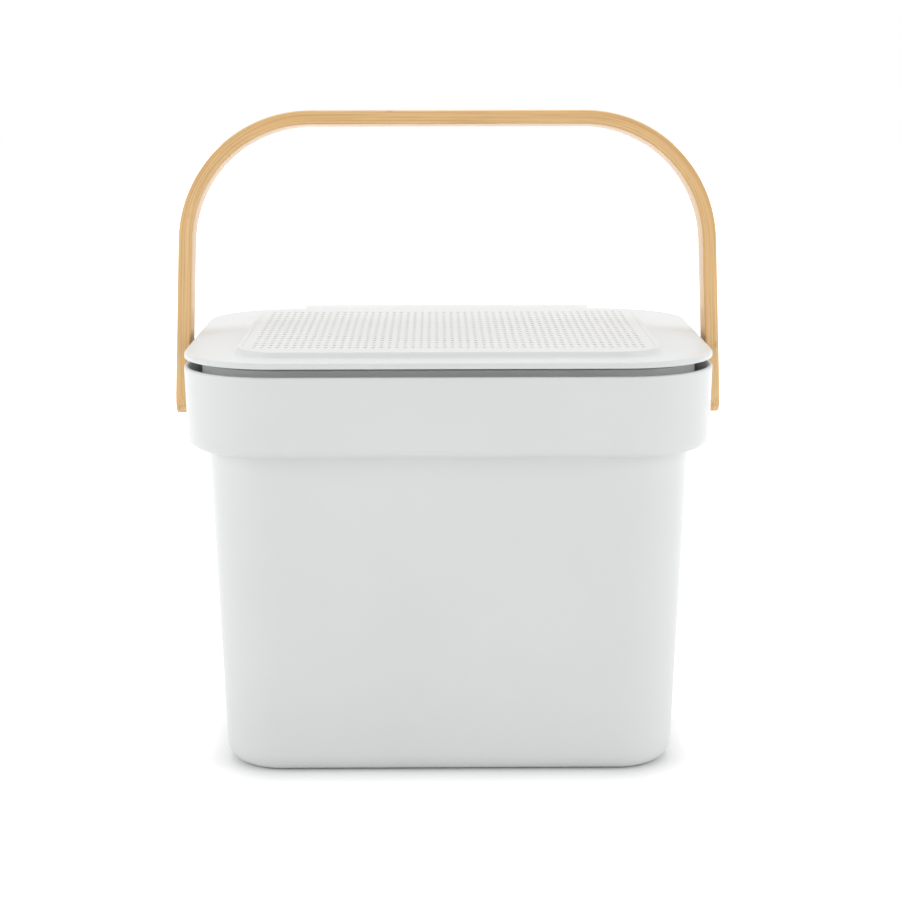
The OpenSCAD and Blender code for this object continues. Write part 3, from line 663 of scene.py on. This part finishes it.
FLOAT, VECTOR, COLOUR = "NodeSocketFloat", "NodeSocketVector", "NodeSocketColor"

# %% Group: moulded surface
group_mould, given, result = new_group(
    "moulded_surface",
    {
        "Place": (VECTOR, None), "Grain": (FLOAT, 2600.0),
        "Roughness": (FLOAT, 0.4), "Variation": (FLOAT, 0.06),
    },
    {"Height": FLOAT, "Roughness": FLOAT, "Shade": FLOAT},
)
fine = noise(group_mould, given.outputs["Place"], given.outputs["Grain"], 2.0, 0.6)
flow = noise(group_mould, given.outputs["Place"], 14.0, 3.0, 0.55)
spread = maths(group_mould, "MULTIPLY", maths(group_mould, "SUBTRACT", flow, 0.5), given.outputs["Variation"])
rough = maths(group_mould, "ADD", given.outputs["Roughness"], maths(group_mould, "MULTIPLY", spread, 2.0))
group_mould.links.new(fine, result.inputs["Height"])
group_mould.links.new(rough, result.inputs["Roughness"])
group_mould.links.new(spread, result.inputs["Shade"])
print("group", group_mould.name)

# %% Plastic materials


def new_material(name):
    """A material with an empty Principled surface: (material, tree, principled node)."""
    material = bpy.data.materials.new(name)
    material.use_nodes = True
    tree = material.node_tree
    return material, tree, tree.nodes["Principled BSDF"]


def bump(tree, height, strength, distance):
    """A bumped normal from a height."""
    node = add(tree, "ShaderNodeBump", {"Height": height, "Strength": strength, "Distance": distance})
    return node.outputs[0]


MOULD_STRENGTH, MOULD_VARIATION = 0.12, 0.05


def moulded_material(name, colour, roughness, grain=2600.0):
    """Moulded plastic, rubber or nylon: a colour that drifts slightly, and a fine surface grain."""
    material, tree, principled = new_material(name)
    place = add(tree, "ShaderNodeTexCoord").outputs["Object"]
    group = add(tree, "ShaderNodeGroup", node_tree=group_mould)
    tree.links.new(place, group.inputs["Place"])
    group.inputs["Grain"].default_value = grain
    group.inputs["Roughness"].default_value = roughness
    group.inputs["Variation"].default_value = MOULD_VARIATION
    pale = tuple(min(1.0, v * 1.04) for v in colour) + (1.0,)
    deep = tuple(v * 0.96 for v in colour) + (1.0,)
    amount = ramp(tree, group.outputs["Shade"], -0.5 * MOULD_VARIATION, 0.5 * MOULD_VARIATION)
    tree.links.new(mix_colour(tree, amount, deep, pale), principled.inputs["Base Color"])
    tree.links.new(group.outputs["Roughness"], principled.inputs["Roughness"])
    tree.links.new(bump(tree, group.outputs["Height"], MOULD_STRENGTH, 0.00003), principled.inputs["Normal"])
    return material


white_plastic = moulded_material("white_plastic", (0.80, 0.815, 0.815), 0.38)
grey_plastic = moulded_material("grey_plastic", (0.76, 0.77, 0.76), 0.42)
nylon = moulded_material("nylon", (0.72, 0.72, 0.68), 0.45)
seal_rubber = moulded_material("seal_rubber", (0.66, 0.67, 0.66), 0.6, grain=1800.0)


def felt_material(name):
    """The filter: dark needled felt with a pale fleece on its upper side, told by the normal's height."""
    material, tree, principled = new_material(name)
    coordinates = add(tree, "ShaderNodeTexCoord")
    upward = add(tree, "ShaderNodeSeparateXYZ", {0: coordinates.outputs["Normal"]}).outputs[2]
    tangle = noise(tree, coordinates.outputs["Object"], 700.0, 4.0, 0.7)
    dark = mix_colour(tree, tangle, (0.02, 0.02, 0.022, 1), (0.05, 0.05, 0.052, 1))
    pale = mix_colour(tree, tangle, (0.78, 0.78, 0.77, 1), (0.92, 0.92, 0.9, 1))
    colour = mix_colour(tree, ramp(tree, upward, 0.5, 0.9), dark, pale)
    tree.links.new(colour, principled.inputs["Base Color"])
    principled.inputs["Roughness"].default_value = 0.95
    tree.links.new(bump(tree, tangle, 0.8, 0.0002), principled.inputs["Normal"])
    return material


charcoal_felt = felt_material("charcoal_felt")

# %% Steel
TURNING_RATE = 52000.0


def steel_material(name):
    """Turned steel: a metal whose roughness varies in fine rings round the pivots' axis."""
    material, tree, principled = new_material(name)
    place = add(tree, "ShaderNodeTexCoord").outputs["Object"]
    parts = add(tree, "ShaderNodeSeparateXYZ", {0: place})
    height = maths(tree, "SUBTRACT", parts.outputs[2], PIVOT_Z * MM)
    squares = [maths(tree, "POWER", part, 2.0) for part in (parts.outputs[1], height)]
    radius = maths(tree, "SQRT", maths(tree, "ADD", *squares))
    rings = maths(tree, "SINE", maths(tree, "MULTIPLY", radius, TURNING_RATE))
    smear = noise(tree, place, 900.0, 3.0)
    value = maths(tree, "ADD", maths(tree, "MULTIPLY", rings, 0.03), ramp(tree, smear, 0.3, 0.7, 0.2, 0.34))
    tree.links.new(value, principled.inputs["Roughness"])
    shade = ramp(tree, smear, 0.3, 0.7)
    colour = mix_colour(tree, shade, (0.56, 0.56, 0.57, 1), (0.66, 0.66, 0.67, 1))
    tree.links.new(colour, principled.inputs["Base Color"])
    principled.inputs["Metallic"].default_value = 1.0
    tree.links.new(bump(tree, rings, 0.1, 0.00001), principled.inputs["Normal"])
    return material


steel = steel_material("steel")

# %% [markdown]
# ## Bamboo
# Laminated bamboo is made of thin slats glued together, so its edge shows fine lines along the
# strip, and its fibres run lengthwise. The pattern is drawn in the strip's own coordinates from
# the UV maps: noise that is stretched along the strip gives the fibres, and dark, slightly uneven
# bands across the strip are the culm's nodes. A ply's thickness is in millimetres, the nodes' places
# are in metres.

# %% Group: bamboo fibres
PLY_T, NODE_START, NODE_PITCH = 1.62, 0.031, 0.118
group_bamboo, given, result = new_group(
    "bamboo_fibres",
    {"Along": (FLOAT, 0.0), "Through": (FLOAT, 0.0), "Across": (FLOAT, 0.0)},
    {"Colour": COLOUR, "Height": FLOAT, "Roughness": FLOAT},
)


def strip_place(tree, source, along_scale, through_scale, across_scale):
    """A place in the strip with each direction scaled for itself."""
    return add(tree, "ShaderNodeCombineXYZ", {
        0: maths(tree, "MULTIPLY", source.outputs["Along"], along_scale),
        1: maths(tree, "MULTIPLY", source.outputs["Through"], through_scale),
        2: maths(tree, "MULTIPLY", source.outputs["Across"], across_scale),
    }).outputs[0]


fibres = noise(group_bamboo, strip_place(group_bamboo, given, 18.0, 1500.0, 1500.0), 1.0, 4.0, 0.6)
strands = noise(group_bamboo, strip_place(group_bamboo, given, 6.0, 420.0, 300.0), 1.0, 3.0, 0.5)
tone = noise(group_bamboo, strip_place(group_bamboo, given, 12.0, 60.0, 60.0), 1.0, 2.0, 0.5)
ply = maths(group_bamboo, "MULTIPLY", given.outputs["Through"], 1000.0 / PLY_T)
ply_phase = maths(group_bamboo, "FRACT", ply)
ply_wave = maths(group_bamboo, "ABSOLUTE", maths(group_bamboo, "SUBTRACT", ply_phase, 0.5))
glue = ramp(group_bamboo, ply_wave, 0.44, 0.5)
wobble = maths(group_bamboo, "MULTIPLY", maths(group_bamboo, "SUBTRACT", tone, 0.5), 0.02)
node_run = maths(group_bamboo, "ADD", maths(group_bamboo, "ADD", given.outputs["Along"], NODE_START), wobble)
node_phase = maths(group_bamboo, "FRACT", maths(group_bamboo, "MULTIPLY", node_run, 1 / NODE_PITCH))
node_near = maths(group_bamboo, "ABSOLUTE", maths(group_bamboo, "SUBTRACT", node_phase, 0.5))
node_band = ramp(group_bamboo, node_near, 0.02, 0.0)
node_mask = maths(group_bamboo, "MULTIPLY", node_band, ramp(group_bamboo, strands, 0.52, 0.66))
pale_straw, straw, toast = (0.94, 0.66, 0.33, 1), (0.80, 0.47, 0.18, 1), (0.46, 0.23, 0.07, 1)
base = mix_colour(group_bamboo, ramp(group_bamboo, strands, 0.3, 0.7), straw, pale_straw)
base = mix_colour(group_bamboo, ramp(group_bamboo, fibres, 0.42, 0.72, 0.0, 0.6), base, toast)
base = mix_colour(group_bamboo, maths(group_bamboo, "MULTIPLY", glue, 0.35), base, toast)
base = mix_colour(group_bamboo, maths(group_bamboo, "MULTIPLY", node_mask, 0.4), base, (0.4, 0.2, 0.07, 1))
height = maths(group_bamboo, "SUBTRACT", fibres, maths(group_bamboo, "MULTIPLY", glue, 0.3))
group_bamboo.links.new(base, result.inputs["Colour"])
group_bamboo.links.new(height, result.inputs["Height"])
group_bamboo.links.new(ramp(group_bamboo, fibres, 0.3, 0.7, 0.36, 0.52), result.inputs["Roughness"])
print("group", group_bamboo.name)

# %% Bamboo material


def bamboo_material(name):
    """Lacquered bamboo: the fibre group in the strip's own coordinates under a thin clear coat."""
    material, tree, principled = new_material(name)
    first, second = (
        add(tree, "ShaderNodeSeparateXYZ", {0: add(tree, "ShaderNodeUVMap", uv_map=layer).outputs[0]})
        for layer in ("along_through", "across")
    )
    group = add(tree, "ShaderNodeGroup", node_tree=group_bamboo)
    tree.links.new(first.outputs[0], group.inputs["Along"])
    tree.links.new(first.outputs[1], group.inputs["Through"])
    tree.links.new(second.outputs[0], group.inputs["Across"])
    tree.links.new(group.outputs["Colour"], principled.inputs["Base Color"])
    tree.links.new(group.outputs["Roughness"], principled.inputs["Roughness"])
    tree.links.new(bump(tree, group.outputs["Height"], 0.25, 0.00005), principled.inputs["Normal"])
    principled.inputs["Coat Weight"].default_value = 0.15
    principled.inputs["Coat Roughness"].default_value = 0.25
    return material


bamboo = bamboo_material("bamboo")

# %% [markdown]
# ## Dressing the pieces
# A new piece gets its material, rides on the body that carries it and hides the solids that it stands
# for. Solids that already look right keep their own mesh and only get a better material.

# %% Dress the pieces


def dress(piece, material, body, slot, *nodes):
    """Gives a new piece its material and its body, and hides the solids that it stands for."""
    piece.data.materials.append(material)
    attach(piece, body)
    if nodes:
        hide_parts(*nodes)


dress(bin_shell, white_plastic, "bin", "white_plastic", "outer_bin")
for extra in (boss_left, boss_right, ear_left, ear_right):
    dress(extra, white_plastic, "bin", "white_plastic")
dress(bucket_shell, grey_plastic, "bin", "grey_plastic", "inner_bucket")
dress(lid_shell, white_plastic, "lid", "white_plastic", "lid")
for extra in (lid_knuckle, lid_hood_left, lid_hood_right):
    dress(extra, white_plastic, "lid", "white_plastic")
dress(handle_strip, bamboo, "handle", "bamboo", "handle")
dress(head_right, steel, "pivots", "steel", "pivot_screw_right")
dress(head_left, steel, "pivots", "steel", "pivot_screw_left")


def refinish(node, material):
    """Gives a CAD node that stays in view a new material in place of its own."""
    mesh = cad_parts[node].data
    mesh.materials.clear()
    mesh.materials.append(material)


kept_finishes = {
    "vent_panel": white_plastic, "filter_tray": white_plastic, "charcoal_filter": charcoal_felt,
    "lid_seal": seal_rubber, "hinge_pin": steel, "bush_left": nylon, "bush_right": nylon,
    "washer_left": steel, "washer_right": steel, "pivot_nut_left": steel, "pivot_nut_right": steel,
}
for node_name, finish in kept_finishes.items():
    refinish(node_name, finish)
print("solids kept in view:", ", ".join(kept_finishes))

# %% [markdown]
# ## Floor and light
# The photograph has a pure white ground with a narrow, soft shadow under the caddy. The floor is a
# matt white with a glow that only the camera and reflections see, and that glow is painted light. It
# grows with the distance from the base, so the floor is painted darker near the base: there the
# darkening is partly the real shadow and partly painted shade. Far out the floor meets the white
# backdrop without an edge.

# %% Floor and backdrop


def outside_base(tree, place):
    """How far a place on the floor lies outside the base's outline, in metres: the length of what x
    and y have past the plan's rectangle, less the distance by which the base stands out from it."""
    parts = add(tree, "ShaderNodeSeparateXYZ", {0: place})
    squares = []
    for axis, half in ((0, PLAN_W / 2), (1, PLAN_D / 2)):
        past = maths(tree, "SUBTRACT", maths(tree, "ABSOLUTE", parts.outputs[axis]), half * MM)
        squares.append(maths(tree, "POWER", maths(tree, "MAXIMUM", past, 0.0), 2.0))
    length = maths(tree, "SQRT", maths(tree, "ADD", *squares))
    return maths(tree, "SUBTRACT", length, body_u(0) * MM)


def seen_or_mirrored(tree):
    """1 for rays that come from the camera or from a reflection, 0 for the light that they gather."""
    path = add(tree, "ShaderNodeLightPath")
    return maths(tree, "MAXIMUM", path.outputs["Is Camera Ray"], path.outputs["Is Glossy Ray"])


def floor_material():
    """White paint, with a painted glow that grows away from the base in three steps, so that the floor is
    painted darker near the base: painted shade beside the real shadow.
    """
    material, tree, principled = new_material("floor_paint_and_painted_glow")
    principled.inputs["Base Color"].default_value = (0.9, 0.9, 0.9, 1)
    principled.inputs["Roughness"].default_value = 0.9
    away = outside_base(tree, add(tree, "ShaderNodeTexCoord").outputs["Object"])
    # Painted light and shade: the glow is nothing at the base's outline and grows outwards, so the floor near
    # the base is painted darker on top of its real shadow.
    level = 0.0
    for start, stop, gain in ((-0.006, 0.0, 0.12), (0.0, 0.022, 0.36), (0.022, 0.6, 0.7)):
        level = maths(tree, "ADD", level, ramp(tree, away, start, stop, 0.0, gain))
    glow = add(tree, "ShaderNodeEmission", {"Color": (1, 1, 1, 1)})
    tree.links.new(maths(tree, "MULTIPLY", seen_or_mirrored(tree), level), glow.inputs["Strength"])
    both = add(tree, "ShaderNodeAddShader", {0: principled.outputs[0], 1: glow.outputs[0]})
    tree.links.new(both.outputs[0], tree.nodes["Material Output"].inputs["Surface"])
    return material


FLOOR_HALF, FLOOR_Z = 6000.0, -0.05
floor_corners = np.array([(-1, -1), (1, -1), (1, 1), (-1, 1)]) * FLOOR_HALF
floor = new_piece("floor", np.column_stack([floor_corners, np.full(4, FLOOR_Z)]), [[0, 1, 2, 3]])
floor.data.materials.append(floor_material())

world = bpy.data.worlds.new("studio")
bpy.context.scene.world = world
world.use_nodes = True
sky = world.node_tree
AMBIENT = 0.5
backdrop = sky.nodes["Background"]
sky.links.new(ramp(sky, seen_or_mirrored(sky), 0.0, 1.0, AMBIENT, 1.0), backdrop.inputs["Strength"])
backdrop.inputs["Color"].default_value = (1, 1, 1, 1)

# %% [markdown]
# The light is big and soft: one lamp high up and behind the caddy, one on each side, and a weak one
# in front.

# %% Lamps


def lamp(name, place, target, size, power):
    """A square soft lamp at place, in mm, that faces target."""
    data = bpy.data.lights.new(name, "AREA")
    data.shape, data.size, data.energy = "SQUARE", size * MM, power
    item = bpy.data.objects.new(name, data)
    away = np.array(place, float) - np.array(target, float)
    away /= np.linalg.norm(away)
    side = np.cross([0, 1, 0] if abs(away[2]) > 0.9 else [0, 0, 1], away)
    side /= np.linalg.norm(side)
    turn = np.eye(4)
    turn[:3, :3] = np.column_stack([side, np.cross(away, side), away])
    turn[:3, 3] = np.array(place, float) * MM
    item.matrix_world = Matrix(turn.tolist())
    bpy.context.scene.collection.objects.link(item)


lamp("top_lamp", (0, 550, 1500), (0, 0, 100), 1500, 11.4)
lamp("left_lamp", (-1450, -600, 700), (0, 0, 130), 1100, 6.2)
lamp("right_lamp", (1450, -600, 700), (0, 0, 130), 1100, 6.2)
lamp("front_lamp", (0, -1900, 900), (0, 0, 120), 1200, 2.3)

scene = bpy.context.scene
scene.view_settings.view_transform = "Standard"
